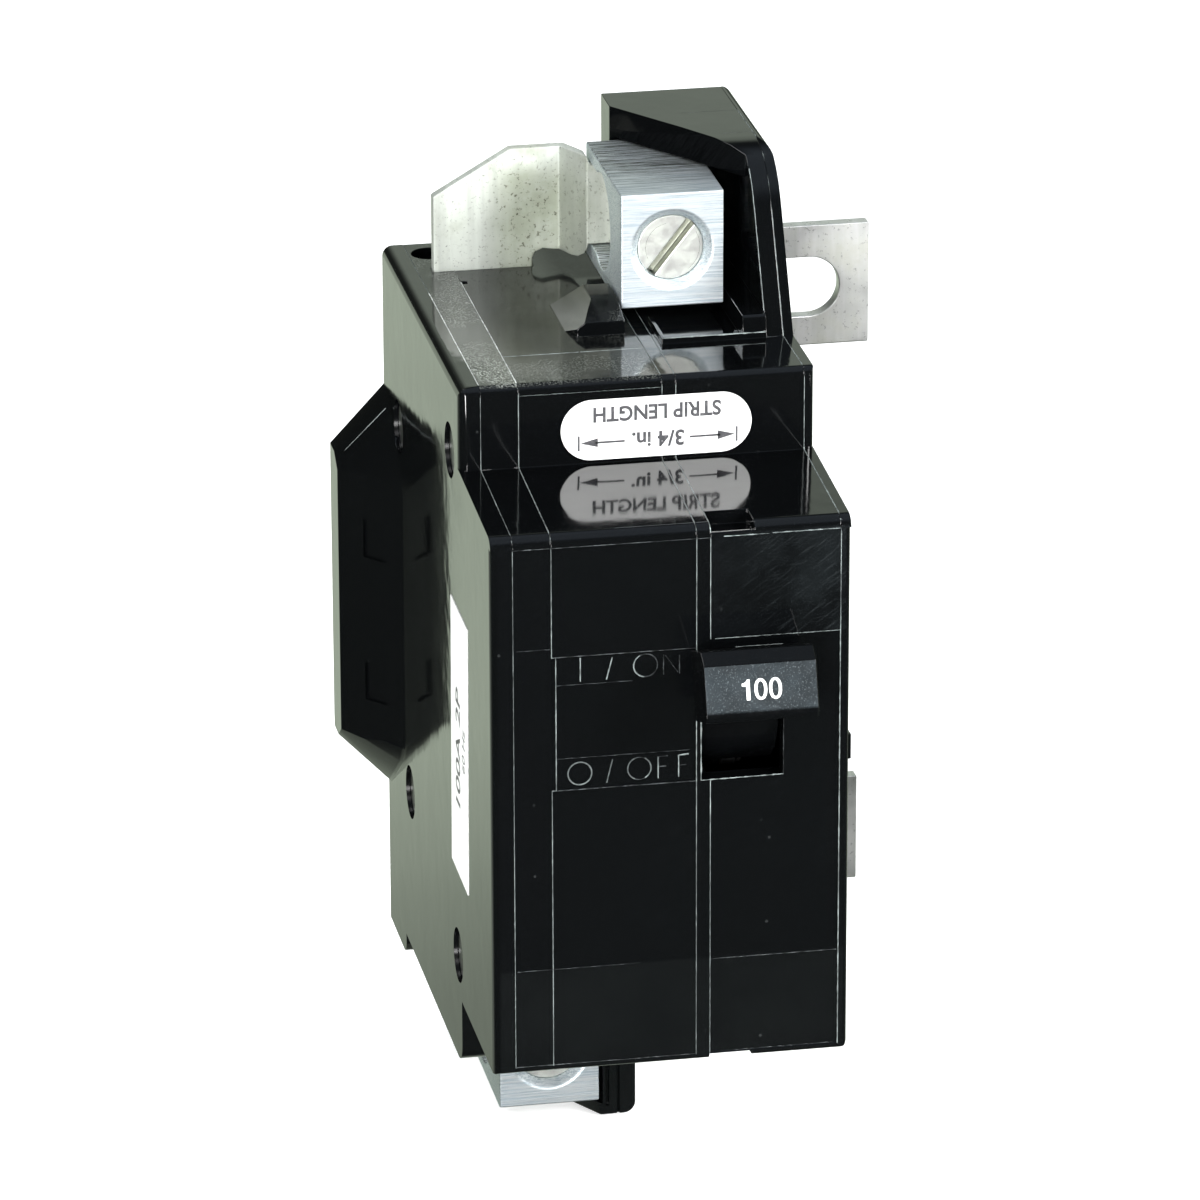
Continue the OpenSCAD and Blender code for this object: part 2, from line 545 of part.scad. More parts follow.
module trip_bar_body() {
  rod_x(6.0, 39.4, trip_y, trip_z, 2.2);
  rod_x(3.0, 41.3, trip_y, trip_z, 1.4);
  for (x = [pole_a, pole_b]) {
    // finger pushed by the bimetal, and the seat of the armature
    box(x - 1.5, x + 1.5, 40.2, 43.5, trip_z - 1.5, 19.4);
    box(x - 4.0, x + 4.0, trip_y - 1.0, trip_y + 0.6, trip_z - 3.4, trip_z);
  }
  // ledge that holds the latch lever
  box(37.3, 39.3, trip_y, trip_y + 2.4, trip_z - 1, 17.6);
}
module trip_bar_spring() at_frame() color("#9aa0a4") rings_x(19.6, trip_y, trip_z, 3.0, 0.35, 5, 0.8);
module armature(x) box(x - 4.0, x + 4.0, trip_y + 0.6, trip_y + 1.8, 1.0, trip_z - 0.6);
module armature_left() at_frame() color("#83878b") armature(pole_a);
module armature_right() at_frame() color("#83878b") armature(pole_b);
module magnet_yoke(x) {
  box(x - 4.6, x + 4.6, 33.4, 34.9, 1.5, 10.5);
  box(x - 4.6, x - 3.3, 33.4, 41.0, 1.5, 10.5);
  box(x + 3.3, x + 4.6, 33.4, 41.0, 1.5, 10.5);
  box(x - 2.0, x + 2.0, 33.4, 34.9, -4.1, 2.0);
}
module magnet_yoke_left() at_frame() color("#83878b") magnet_yoke(pole_a);
module magnet_yoke_right() at_frame() color("#83878b") magnet_yoke(pole_b);
module bimetal(x) difference() {
  union() {
    box(x - 2.6, x + 2.6, 36.0, 37.2, -4.1, 21.5);
    box(x - 2.6, x + 2.6, 36.0, 42.5, -4.1, -2.9);
  }
  rod_y(35, 38, x, 17.8, 1.0 + run);
}
module bimetal_left() at_frame() color("#b59a6b") bimetal(pole_a);
module bimetal_right() at_frame() color("#b59a6b") bimetal(pole_b);
module calibration_screws() at_frame() color("#b9bbbc") for (x = [pole_a, pole_b]) difference() {
  union() {
    rod_y(34.6, 39.0, x, 17.8, 1.0);
    rod_y(33.8, 35.0, x, 17.8, 1.7);
  }
  box(x - 2, x + 2, 33.5, 34.3, 17.5, 18.1);
}
module braid(x) slice(x - 1.7, x + 1.7) polygon([[34.9, 20.0], [36.0, 20.0], [36.0, 22],
  [35.6, 25.4], [38.6, 29.4], [43.6, 30.4], [43.6, 31.8], [37.8, 30.8], [34.3, 26.0], [34.6, 22]]);
module braid_left() at_frame() color("#b87a4b") braid(pole_a);
module braid_right() at_frame() color("#b87a4b") braid(pole_b);

// ---- arc chutes ----
module arc_plates(x0, x1, x) for (i = [0:5]) difference() {
  box(x0, x1, 38.4 + i * 2.6, 39.4 + i * 2.6, 46, 62.5);
  box(x - 3.3, x + 3.3, 38, 56, 45, 56);
}
module arc_plates_left() at_frame() color("#80858a") arc_plates(8.2, 19.8, pole_a);
module arc_plates_right() at_frame() color("#80858a") arc_plates(28.6, 39.0, pole_b);
module arc_chute(x0, x1) {
  box(x0 - 0.7, x0, 37.6, 53.6, 45, 63.3);
  box(x1, x1 + 0.7, 37.6, 53.6, 45, 63.3);
  box(x0 - 0.7, x1 + 0.7, 37.6, 53.6, 62.5, 63.3);
}
module arc_chute_left() at_frame() color("#a33b2a") arc_chute(8.2, 19.8);
module arc_chute_right() at_frame() color("#a33b2a") arc_chute(28.6, 39.0);

// ---- labels ----
module gauge_label() at_frame() color("#eceeee") translate([12.2, label_y, 69.2])
  rotate([90, 0, 0]) linear_extrude(0.08) union() {
    translate([3.75, 0]) square([15.5, 7.5]);
    translate([3.75, 3.75]) circle(r = 3.75, $fn = 48);
    translate([19.25, 3.75]) circle(r = 3.75, $fn = 48);
  }
module side_label() at_frame() color("#e9ebe9") translate([-0.08, 22.3, 33.6]) rotate([1.6, 0, 0])
  translate([0, -5.7, -17.2]) cube([0.08, 11.4, 34.4]);

left_cover();
left_case();
front_cover();
rear_block();
centre_divider();
right_case();
right_cover();
case_rivets();
handle();
handle_pin();
upper_lug();
upper_lug_screw();
upper_strap();
lower_lug();
lower_lug_screw();
lower_strap();
upper_bus_tab();
lower_bus_tab();
crossbar();
contact_arm_left();
contact_arm_right();
moving_contact_left();
moving_contact_right();
fixed_contact_left();
fixed_contact_right();
contact_spring_left();
contact_spring_right();
drive_link();
handle_crank_pin();
crossbar_crank_pin();
latch_lever();
latch_lever_pin();
handle_spring();
trip_bar();
trip_bar_spring();
armature_left();
armature_right();
magnet_yoke_left();
magnet_yoke_right();
bimetal_left();
bimetal_right();
calibration_screws();
braid_left();
braid_right();
arc_chute_left();
arc_chute_right();
arc_plates_left();
arc_plates_right();
gauge_label();
side_label();
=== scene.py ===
"""Looks of a two-pole main circuit breaker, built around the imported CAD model.

Places are given in the corner frame of part.scad, in millimetres: x to the right, y away from the
viewer, z up, from the lower left corner of the front face. mm() turns them into metres in the CAD frame.
"""
import json
import math
import random
import bpy
import bmesh
from mathutils import Matrix, Vector


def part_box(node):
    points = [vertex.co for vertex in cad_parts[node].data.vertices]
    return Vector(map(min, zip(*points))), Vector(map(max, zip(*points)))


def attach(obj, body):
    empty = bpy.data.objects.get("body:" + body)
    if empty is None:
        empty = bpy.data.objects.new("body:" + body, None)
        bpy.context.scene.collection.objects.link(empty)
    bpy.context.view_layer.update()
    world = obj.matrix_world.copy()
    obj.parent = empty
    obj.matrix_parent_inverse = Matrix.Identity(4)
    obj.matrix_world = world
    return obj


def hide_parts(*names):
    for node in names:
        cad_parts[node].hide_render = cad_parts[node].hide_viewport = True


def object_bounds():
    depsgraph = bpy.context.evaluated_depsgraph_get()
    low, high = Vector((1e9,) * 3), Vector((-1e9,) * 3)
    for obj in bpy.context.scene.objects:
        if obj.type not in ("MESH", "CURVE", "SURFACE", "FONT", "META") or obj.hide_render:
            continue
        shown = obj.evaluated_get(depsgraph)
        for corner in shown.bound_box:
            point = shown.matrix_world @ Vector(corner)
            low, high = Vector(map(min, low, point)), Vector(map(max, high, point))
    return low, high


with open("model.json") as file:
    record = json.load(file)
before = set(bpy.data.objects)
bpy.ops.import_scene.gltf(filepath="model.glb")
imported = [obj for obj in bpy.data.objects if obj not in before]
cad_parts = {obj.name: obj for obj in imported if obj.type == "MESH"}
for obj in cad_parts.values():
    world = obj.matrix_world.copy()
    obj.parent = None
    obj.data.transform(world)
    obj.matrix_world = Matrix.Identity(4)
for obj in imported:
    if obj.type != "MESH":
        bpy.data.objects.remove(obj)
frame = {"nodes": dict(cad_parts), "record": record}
cad_box = [list(map(float, p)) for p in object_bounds()]
scene = bpy.context.scene
nodes = frame["nodes"]

# origin of the CAD frame, seen from the corner frame
ORIGIN_X, ORIGIN_Y, ORIGIN_Z = 21.4, 76.6, 33.9
# seams between the slices of the case
SEAM_LEFT, SEAM_CASE, SEAM_MID_A, SEAM_MID_B, SEAM_RIGHT = 2.6, 7.15, 24.4, 26.05, 41.6
TOP_Z = 79.0          # top face
STEP_Y = 20.9         # upper front face, behind the shelf
SHELF_Z = 66.2        # upper end of the front face
WINDOW_Z = 35.9       # lower edge of the handle's window and of the switch panel
PANEL_Z = 53.6        # lower edge of the raised right panel
ROOF_Z = 99.0         # top of the shield
MARKS_Y = 0.25        # floor of the sunk switch panel
# how far print stands above its label and how far it is sunk in
INK_RISE, INK_SINK = 0.012, 0.02

FRONT = (0, -1, 0)
UP = (0, 0, 1)
# base colour of the moulded plastic
BLACK = (0.0018, 0.0021, 0.0024)


def mm(x, y, z):
    """A point of the corner frame, in mm, as metres in the CAD frame."""
    return Vector(((x - ORIGIN_X) / 1000, (y - ORIGIN_Y) / 1000, (z - ORIGIN_Z) / 1000))


# ---------------------------------------------------------------- materials
class Mat:
    """A node material with a Principled shader and a few short-hands."""

    def __init__(self, name, color, rough, metal=0.0, ior=1.5):
        self.m = bpy.data.materials.new(name)
        self.m.use_nodes = True
        self.t = self.m.node_tree
        self.b = self.t.nodes["Principled BSDF"]
        self.b.inputs["Base Color"].default_value = (*color, 1)
        self.b.inputs["Roughness"].default_value = rough
        self.b.inputs["Metallic"].default_value = metal
        self.b.inputs["IOR"].default_value = ior
        self.m.diffuse_color = (*color, 1)
        self.coord = self.t.nodes.new("ShaderNodeTexCoord").outputs["Object"]
        self.normal = None

    def node(self, kind, **inputs):
        n = self.t.nodes.new(kind)
        for k, v in inputs.items():
            if isinstance(v, bpy.types.NodeSocket):
                self.t.links.new(v, n.inputs[k])
            else:
                n.inputs[k].default_value = v
        return n

    def at(self, scale, rot=(0, 0, 0)):
        """The object's coordinates, turned and then scaled."""
        turn = self.node("ShaderNodeMapping", Vector=self.coord)
        turn.inputs["Rotation"].default_value = rot
        n = self.node("ShaderNodeMapping", Vector=turn.outputs["Vector"])
        n.inputs["Scale"].default_value = scale
        return n.outputs["Vector"]

    def noise(self, scale, detail, rough=0.55, vec=None):
        return self.node("ShaderNodeTexNoise", Vector=vec or self.coord, Scale=scale, Detail=detail,
                         Roughness=rough).outputs["Fac"]

    def voronoi(self, scale):
        return self.node("ShaderNodeTexVoronoi", Vector=self.coord, Scale=scale).outputs["Distance"]

    def ramp(self, fac, a, b, lo=0.0, hi=1.0, smooth=True):
        """lo where fac is at a, hi where it is at b."""
        n = self.node("ShaderNodeMapRange", Value=fac)
        n.interpolation_type = "SMOOTHSTEP" if smooth else "LINEAR"
        n.inputs["From Min"].default_value = a
        n.inputs["From Max"].default_value = b
        n.inputs["To Min"].default_value = lo
        n.inputs["To Max"].default_value = hi
        return n.outputs["Result"]

    def math(self, op, a, b):
        n = self.t.nodes.new("ShaderNodeMath")
        n.operation = op
        for i, v in enumerate((a, b)):
            if isinstance(v, bpy.types.NodeSocket):
                self.t.links.new(v, n.inputs[i])
            else:
                n.inputs[i].default_value = v
        return n.outputs[0]

    def mix(self, fac, a, b):
        """Colour a where fac is 0, colour b where it is 1."""
        n = self.t.nodes.new("ShaderNodeMix")
        n.data_type = "RGBA"
        for i, v in ((0, fac), (6, a), (7, b)):
            if isinstance(v, bpy.types.NodeSocket):
                self.t.links.new(v, n.inputs[i])
            else:
                n.inputs[i].default_value = v if i == 0 else (*v, 1)
        return n.outputs[2]

    def set(self, socket, out):
        """Links a node's output to a socket of the shader."""
        self.t.links.new(out, self.b.inputs[socket])

    def bump(self, height, strength, distance):
        """Adds one more layer of bump to those before it."""
        n = self.node("ShaderNodeBump", Height=height, Strength=strength, Distance=distance)
        if self.normal is not None:
            self.t.links.new(self.normal, n.inputs["Normal"])
        self.normal = n.outputs["Normal"]
        self.t.links.new(self.normal, self.b.inputs["Normal"])

    def pos(self, axis):
        """Position along an axis of the CAD frame, in metres."""
        n = self.node("ShaderNodeSeparateXYZ", Vector=self.coord)
        return n.outputs[axis]

    def facing(self, axis):
        """How far the surface faces along an axis of the CAD frame: -1 to 1."""
        g = self.t.nodes.new("ShaderNodeTexCoord").outputs["Normal"]
        return self.node("ShaderNodeSeparateXYZ", Vector=g).outputs[axis]


# where a finish begins and where it is full: places in metres along an axis, or how far a face turns
PANEL_LOW = (0.0196, 0.0200)      # lower edge of the raised right panel
PANEL_HIGH = (0.0325, 0.0329)     # its upper edge
PANEL_SIDE = (0.0046, 0.0050)     # its left edge
LOWER_FRONT = (-0.0205, -0.0209)  # the front face below its faint lower line
TOP_FACE = (0.0440, 0.0446)
ROOF_FRONT = (0.0608, 0.0612)
FACES_FRONT = (-0.90, -0.97)
FACES_UP = (0.7, 0.95)


def case_black(name, scuff=0.0):
    """Moulded black plastic; scuff adds a rubbed haze to its top face."""
    m = Mat(name, BLACK, 0.075, ior=1.53)
    fine = m.noise(1500, 2)
    cloud = m.noise(85, 4)
    x, z = m.pos(0), m.pos(2)
    # fine slanting scratches, most of them on the raised right panel
    wide = m.noise(1.0, 3, 0.6, m.at((240, 300, 4600), (0, 0.62, 0)))
    cross = m.noise(1.0, 3, 0.6, m.at((300, 300, 5200), (0, 0.25, 0)))
    lines = m.math("MAXIMUM", m.ramp(wide, 0.52, 0.72), m.ramp(cross, 0.58, 0.76))
    patch = m.ramp(m.noise(60, 3), 0.42, 0.66)
    panel = m.math("MULTIPLY", m.ramp(z, *PANEL_LOW), m.ramp(z, *PANEL_HIGH, 1, 0))
    panel = m.math("MULTIPLY", panel, m.ramp(x, 0.0060, 0.0185, 0.25, 1.0))
    front = m.math("MULTIPLY", m.ramp(x, *PANEL_SIDE), m.ramp(m.facing(1), *FACES_FRONT))
    panel = m.math("MULTIPLY", panel, front)
    haze = m.math("MULTIPLY", panel, m.ramp(m.noise(120, 3), 0.38, 0.64, 0.1, 1.0))
    low = m.math("MULTIPLY", m.ramp(z, *LOWER_FRONT), m.ramp(m.noise(110, 3), 0.3, 0.7, 0.5, 1.0))
    low = m.math("MULTIPLY", low, m.ramp(m.facing(1), *FACES_FRONT))
    worn = m.math("ADD", m.math("MULTIPLY", panel, 0.5), m.math("MULTIPLY", patch, 0.09))
    worn = m.math("MULTIPLY", lines, worn)
    c = m.mix(m.math("MULTIPLY", haze, 0.5), BLACK, (0.0085, 0.0105, 0.0115))
    c = m.mix(m.math("MULTIPLY", low, 0.4), c, (0.0062, 0.0072, 0.0072))
    c = m.mix(worn, c, (0.022, 0.026, 0.028))
    dust = m.math("MULTIPLY", m.ramp(m.voronoi(520), 0.14, 0.05), m.ramp(m.noise(210, 2), 0.60, 0.66))
    c = m.mix(m.math("MULTIPLY", dust, 0.3), c, (0.05, 0.055, 0.055))
    rough = m.math("ADD", m.ramp(cloud, 0.35, 0.75, 0.055, 0.10), m.ramp(fine, 0.6, 0.8, 0, 0.05))
    if scuff:
        top = m.math("MULTIPLY", m.ramp(m.facing(2), *FACES_UP), m.ramp(z, *TOP_FACE))
        rub = m.math("MAXIMUM", m.ramp(m.voronoi(2600), 0.30, 0.12),
                     m.ramp(m.noise(4200, 4, 0.7), 0.47, 0.63, 0.0, 0.9))
        rub = m.math("MULTIPLY", rub, m.ramp(m.noise(130, 3), 0.36, 0.56, 0.22, 1.0))
        near = m.ramp(m.pos(1), -0.0530, -0.0400, 1.0, 0.40)
        rub = m.math("MULTIPLY", m.math("MULTIPLY", rub, top), m.math("MULTIPLY", near, scuff))
        c = m.mix(rub, c, (0.40, 0.43, 0.39))
        rough = m.math("ADD", rough, m.math("MULTIPLY", top, 0.12 * scuff))
    m.set("Base Color", c)
    m.set("Roughness", m.math("ADD", rough, m.math("MULTIPLY", worn, 0.3)))
    # duller moulded skin: front of the roof, lower facets of the foot and the middle of the top face
    roof = m.math("MULTIPLY", m.ramp(m.facing(0), -0.6, -0.75), m.ramp(m.facing(1), -0.3, -0.42))
    roof = m.math("MULTIPLY", roof, m.ramp(z, *ROOF_FRONT))
    facet = m.math("MULTIPLY", m.ramp(m.facing(2), -0.10, -0.25), m.ramp(x, -0.0215, -0.0218))
    dull = m.math("MAXIMUM", roof, facet)
    if name == "case_black_worn":
        middle = m.math("MULTIPLY", m.ramp(m.facing(2), *FACES_UP, 0.0, 0.62), m.ramp(z, *TOP_FACE))
        dull = m.math("MAXIMUM", dull, middle)
        # and the corner of that face which lies between the strap and the shield
        corner = m.ramp(x, -0.0085, -0.0008, 0.0, 0.96)
        corner = m.math("MULTIPLY", corner, m.ramp(m.pos(1), -0.0195, -0.0165))
        dull = m.math("MAXIMUM", dull, corner)
    m.set("Specular IOR Level", m.ramp(dull, 0.0, 1.0, 0.5, 0.06, False))
    m.bump(m.noise(150, 2), 0.10, 0.0004)
    m.bump(m.noise(900, 2), 0.04, 0.00004)
    return m


# every material by its name
M = {}
M["case_black"] = case_black("case_black")
M["case_black_rubbed"] = case_black("case_black_rubbed", 1.0)
M["case_black_worn"] = case_black("case_black_worn", 0.24)

# grained, paler face of the grip, above its dark lower edge
m = Mat("handle_black", (0.0025, 0.0028, 0.0032), 0.20, ior=1.33)
face = m.math("MULTIPLY", m.ramp(m.facing(1), *FACES_FRONT), m.ramp(m.pos(2), 0.01395, 0.01440))
edge = m.ramp(m.noise(300, 3), 0.3, 0.7, 0.55, 1.0)
speck = m.math("MULTIPLY", m.ramp(m.noise(5200, 2), 0.56, 0.70), face)
grain = m.ramp(m.noise(900, 3), 0.3, 0.7, 0.16, 0.24)
m.set("Roughness", m.math("ADD", grain, m.math("MULTIPLY", face, 0.18)))
m.bump(m.math("MULTIPLY", m.noise(4200, 3), face), 0.45, 0.00006)
c = m.mix(m.math("MULTIPLY", face, edge), BLACK, (0.028, 0.036, 0.041))
m.set("Base Color", m.mix(m.math("MULTIPLY", speck, 0.6), c, (0.12, 0.14, 0.15)))
M["handle_black"] = m

m = Mat("rivet_steel", (0.20, 0.20, 0.20), 0.4, 1.0)
m.set("Base Color", m.mix(m.ramp(m.noise(700, 4), 0.4, 0.7), (0.22, 0.22, 0.22), (0.08, 0.075, 0.07)))
m.bump(m.noise(2500, 2), 0.3, 0.00004)
M["rivet_steel"] = m


def bare_metal(name, base, rough, streak, bump):
    """Metal with fine streaks; streak is the scale of their noise along each axis."""
    m = Mat(name, base, rough, 1.0)
    s = m.noise(1.0, 6, 0.65, m.at(streak))
    blot = m.noise(160, 5)
    dark = tuple(0.62 * c for c in base)
    stain = m.math("MULTIPLY", s, m.ramp(blot, 0.3, 0.7, 0.7, 1.1))
    m.set("Base Color", m.mix(m.ramp(stain, 0.28, 0.5), dark, base))
    m.set("Roughness", m.ramp(s, 0.3, 0.7, rough + 0.08, rough - 0.06))
    m.bump(s, bump, 0.00008)
    return m


# sawn and extruded aluminium; dark broken streaks on its top, partly real streaks and partly painted shade
# of the shield's roof towards the back
m = Mat("lug_aluminium", (0.80, 0.83, 0.86), 0.55, 1.0)
s1 = m.noise(1.0, 6, 0.7, m.at((130, 5200, 8200)))
s2 = m.noise(1.0, 4, 0.6, m.at((60, 1500, 2600)))
top = m.ramp(m.facing(2), *FACES_UP)
# painted shade: the streaks on the top face grow darker towards the back, where the shield's roof hangs
# over the lug
back = m.ramp(m.pos(1), -0.0345, -0.0225, 0.12, 1.0)
c = m.mix(m.ramp(s1, 0.40, 0.56), (0.50, 0.58, 0.63), (0.84, 0.89, 0.91))
c = m.mix(m.ramp(s2, 0.50, 0.66, 0, 0.30), c, (0.38, 0.45, 0.50))
streak = m.math("MULTIPLY", m.ramp(s1, 0.53, 0.47, 0.15, 1.0), m.ramp(s2, 0.40, 0.52, 0.45, 1.0))
c = m.mix(m.math("MULTIPLY", top, m.math("MULTIPLY", back, streak)), c, (0.07, 0.075, 0.055))
m.set("Base Color", c)
m.set("Roughness", m.ramp(s1, 0.3, 0.7, 0.62, 0.46))
m.bump(s1, 0.30, 0.00008)
M["lug_aluminium"] = m

# turned screws, with painted shade inside the slot
m = Mat("screw_aluminium", (0.84, 0.85, 0.82), 0.48, 1.0)
# painted shade: the floor of the slot is darkened to stand for the shade that falls in it
slot_shade = m.ramp(m.pos(1), -0.03393, -0.03375)
n1 = m.noise(700, 5, 0.65)
c = m.mix(m.ramp(n1, 0.35, 0.65), (0.84, 0.87, 0.81), (0.98, 0.99, 0.95))
m.set("Base Color", m.mix(slot_shade, c, (0.34, 0.35, 0.30)))
m.set("Roughness", m.ramp(n1, 0.3, 0.7, 0.52, 0.38))
m.bump(m.noise(1600, 4), 0.15, 0.00006)
M["screw_aluminium"] = m

m = Mat("groove_dark", (0.10, 0.10, 0.08), 0.5, 0.4)
m.set("Base Color", m.mix(m.ramp(m.noise(1100, 4), 0.38, 0.6), (0.05, 0.05, 0.04), (0.22, 0.23, 0.19)))
M["groove_dark"] = m


def tinned(name, base, rough):
    """Tinned copper: long bands, stained patches and fine dark specks."""
    m = Mat(name, base, rough, 1.0)
    band = m.noise(1.0, 4, 0.6, m.at((420, 40, 30)))
    speck = m.noise(2200, 3, 0.6)
    patch = m.noise(110, 5, 0.6)
    light = tuple(min(1.0, v * 1.06) for v in base)
    c = m.mix(m.ramp(band, 0.35, 0.65), tuple(v * 0.86 for v in base), light)
    c = m.mix(m.ramp(patch, 0.50, 0.72, 0, 0.55), c, tuple(v * k for v, k in zip(base, (0.64, 0.64, 0.56))))
    c = m.mix(m.ramp(speck, 0.60, 0.72, 0, 0.75), c, tuple(v * 0.36 for v in base))
    m.set("Base Color", c)
    m.set("Roughness", m.ramp(patch, 0.3, 0.7, rough - 0.06, rough + 0.1))
    m.bump(m.noise(260, 4), 0.12, 0.0002)
    m.bump(speck, 0.2, 0.00003)
    return m


M["tinned_copper"] = tinned("tinned_copper", (0.97, 0.985, 0.96), 0.46)
# the upper strap is brighter at its left end and stained towards the bend
m = tinned("tinned_strap", (0.70, 0.73, 0.68), 0.72)
old = m.b.inputs["Base Color"].links[0].from_socket
zone = m.math("MULTIPLY", m.ramp(m.pos(0), -0.0115, -0.0060), m.ramp(m.pos(0), -0.0016, -0.0008, 1.0, 0.45))
zone = m.math("MULTIPLY", zone, m.ramp(m.pos(2), 0.0562, 0.0595, 1.0, 0.0))
zone = m.math("MULTIPLY", zone, m.ramp(m.noise(140, 4), 0.30, 0.60, 0.45, 1.0))
c = m.mix(m.math("MULTIPLY", zone, 0.85), old, (0.40, 0.43, 0.34))
pits = m.math("MULTIPLY", m.ramp(m.noise(1500, 4, 0.7), 0.57, 0.66),
              m.math("ADD", m.math("MULTIPLY", zone, 0.8), 0.12))
m.set("Base Color", m.mix(pits, c, (0.11, 0.11, 0.07)))
M["tinned_strap"] = m
M["copper"] = bare_metal("copper", (0.78, 0.42, 0.27), 0.34, (500, 500, 500), 0.2)
M["contact_silver"] = bare_metal("contact_silver", (0.80, 0.79, 0.76), 0.36, (1500, 1500, 1500), 0.3)
M["plain_steel"] = bare_metal("plain_steel", (0.52, 0.53, 0.54), 0.34, (300, 2500, 300), 0.2)
M["spring_steel"] = bare_metal("spring_steel", (0.58, 0.59, 0.60), 0.26, (900, 900, 900), 0.15)
M["bimetal"] = bare_metal("bimetal", (0.60, 0.52, 0.38), 0.34, (300, 300, 3000), 0.2)

m = Mat("bar_brown", (0.10, 0.045, 0.02), 0.38)
m.set("Base Color", m.mix(m.ramp(m.noise(500, 4), 0.4, 0.7), (0.10, 0.045, 0.02), (0.16, 0.08, 0.04)))
m.bump(m.noise(1500, 3), 0.2, 0.00005)
M["bar_brown"] = m
m = Mat("fibre_red", (0.30, 0.05, 0.03), 0.6)
m.set("Base Color", m.mix(m.ramp(m.noise(900, 5), 0.4, 0.7), (0.30, 0.05, 0.03), (0.40, 0.10, 0.06)))
m.bump(m.noise(2500, 3), 0.3, 0.00005)
M["fibre_red"] = m

m = Mat("label_white", (0.84, 0.84, 0.83), 0.42)
grey = m.ramp(m.noise(300, 4), 0.5, 0.8, 0, 0.35)
m.set("Base Color", m.mix(grey, (0.86, 0.86, 0.85), (0.74, 0.74, 0.71)))
m.bump(m.noise(900, 3), 0.08, 0.00004)
M["label_white"] = m
m = Mat("label_ink", (0.03, 0.03, 0.032), 0.45)
m.set("Base Color", m.mix(m.ramp(m.noise(2500, 3), 0.5, 0.75), (0.05, 0.05, 0.055), (0.11, 0.11, 0.115)))
M["label_ink"] = m
m = Mat("numeral_white", (0.82, 0.82, 0.80), 0.45)
grey = m.ramp(m.noise(3500, 3), 0.55, 0.75, 0, 0.5)
m.set("Base Color", m.mix(grey, (0.84, 0.84, 0.82), (0.5, 0.5, 0.5)))
M["numeral_white"] = m
# whitish line on a black edge: partly wear, partly a painted edge highlight
m = Mat("wear_and_highlight_edge", (0.2, 0.2, 0.2), 0.5)
w = m.math("MULTIPLY", m.ramp(m.noise(1300, 4, 0.7), 0.30, 0.56, 0.3, 1.0),
           m.ramp(m.noise(150, 3), 0.34, 0.58, 0.4, 1.0))
m.set("Base Color", m.mix(w, (0.013, 0.014, 0.015), (0.25, 0.29, 0.285)))
M["wear_and_highlight_edge"] = m
# the same on the top face, where the worn lines are lighter
m = Mat("pale_edge", (0.6, 0.6, 0.6), 0.6)
w = m.math("MULTIPLY", m.ramp(m.noise(1300, 4, 0.7), 0.30, 0.52, 0.4, 1.0),
           m.ramp(m.noise(150, 3), 0.34, 0.58, 0.5, 1.0))
m.set("Base Color", m.mix(w, (0.06, 0.065, 0.065), (0.82, 0.86, 0.83)))
M["pale_edge"] = m
# the same, hardly worn
m = Mat("faint_edge", (0.05, 0.05, 0.05), 0.4)
w = m.ramp(m.noise(700, 4, 0.7), 0.40, 0.66)
m.set("Base Color", m.mix(w, (0.006, 0.0065, 0.007), (0.085, 0.095, 0.098)))
M["faint_edge"] = m

# CAD nodes take the finish of their slot, apart from those whose wear differs
slot_of = {p["node"]: p["material_slot"] for p in frame["record"]["subparts"]}
WEAR = {"upper_strap": "tinned_strap", "left_case": "case_black_rubbed", "rear_block": "case_black_worn",
        "front_cover": "case_black_worn"}
for name, obj in nodes.items():
    obj.data.materials.clear()
    obj.data.materials.append(M[WEAR.get(name, slot_of[name])].m)


# ---------------------------------------------------------------- mesh helpers
def add(name, verts, faces, mat, body, smooth=False):
    """A piece from vertices (m) and faces, with its finish, riding on a body."""
    me = bpy.data.meshes.new(name)
    me.from_pydata([tuple(v) for v in verts], [], faces)
    me.validate()
    bm = bmesh.new()
    bm.from_mesh(me)
    bmesh.ops.recalc_face_normals(bm, faces=bm.faces)
    bm.to_mesh(me)
    bm.free()
    if smooth:
        for p in me.polygons:
            p.use_smooth = True
    me.materials.append(M[mat].m)
    o = bpy.data.objects.new(name, me)
    scene.collection.objects.link(o)
    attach(o, body)
    return o


def merge(name, parts, mat, body="case"):
    """One piece from several (vertices, faces) pairs."""
    verts, faces = [], []
    for v, f in parts:
        n = len(verts)
        verts += v
        faces += [tuple(i + n for i in q) for q in f]
    add(name, verts, faces, mat, body)


def prism_faces(k):
    """Faces of a prism whose k lower points come before its k upper points."""
    sides = [(i, (i + 1) % k, k + (i + 1) % k, k + i) for i in range(k)]
    return [tuple(range(k - 1, -1, -1)), tuple(range(k, 2 * k))] + sides


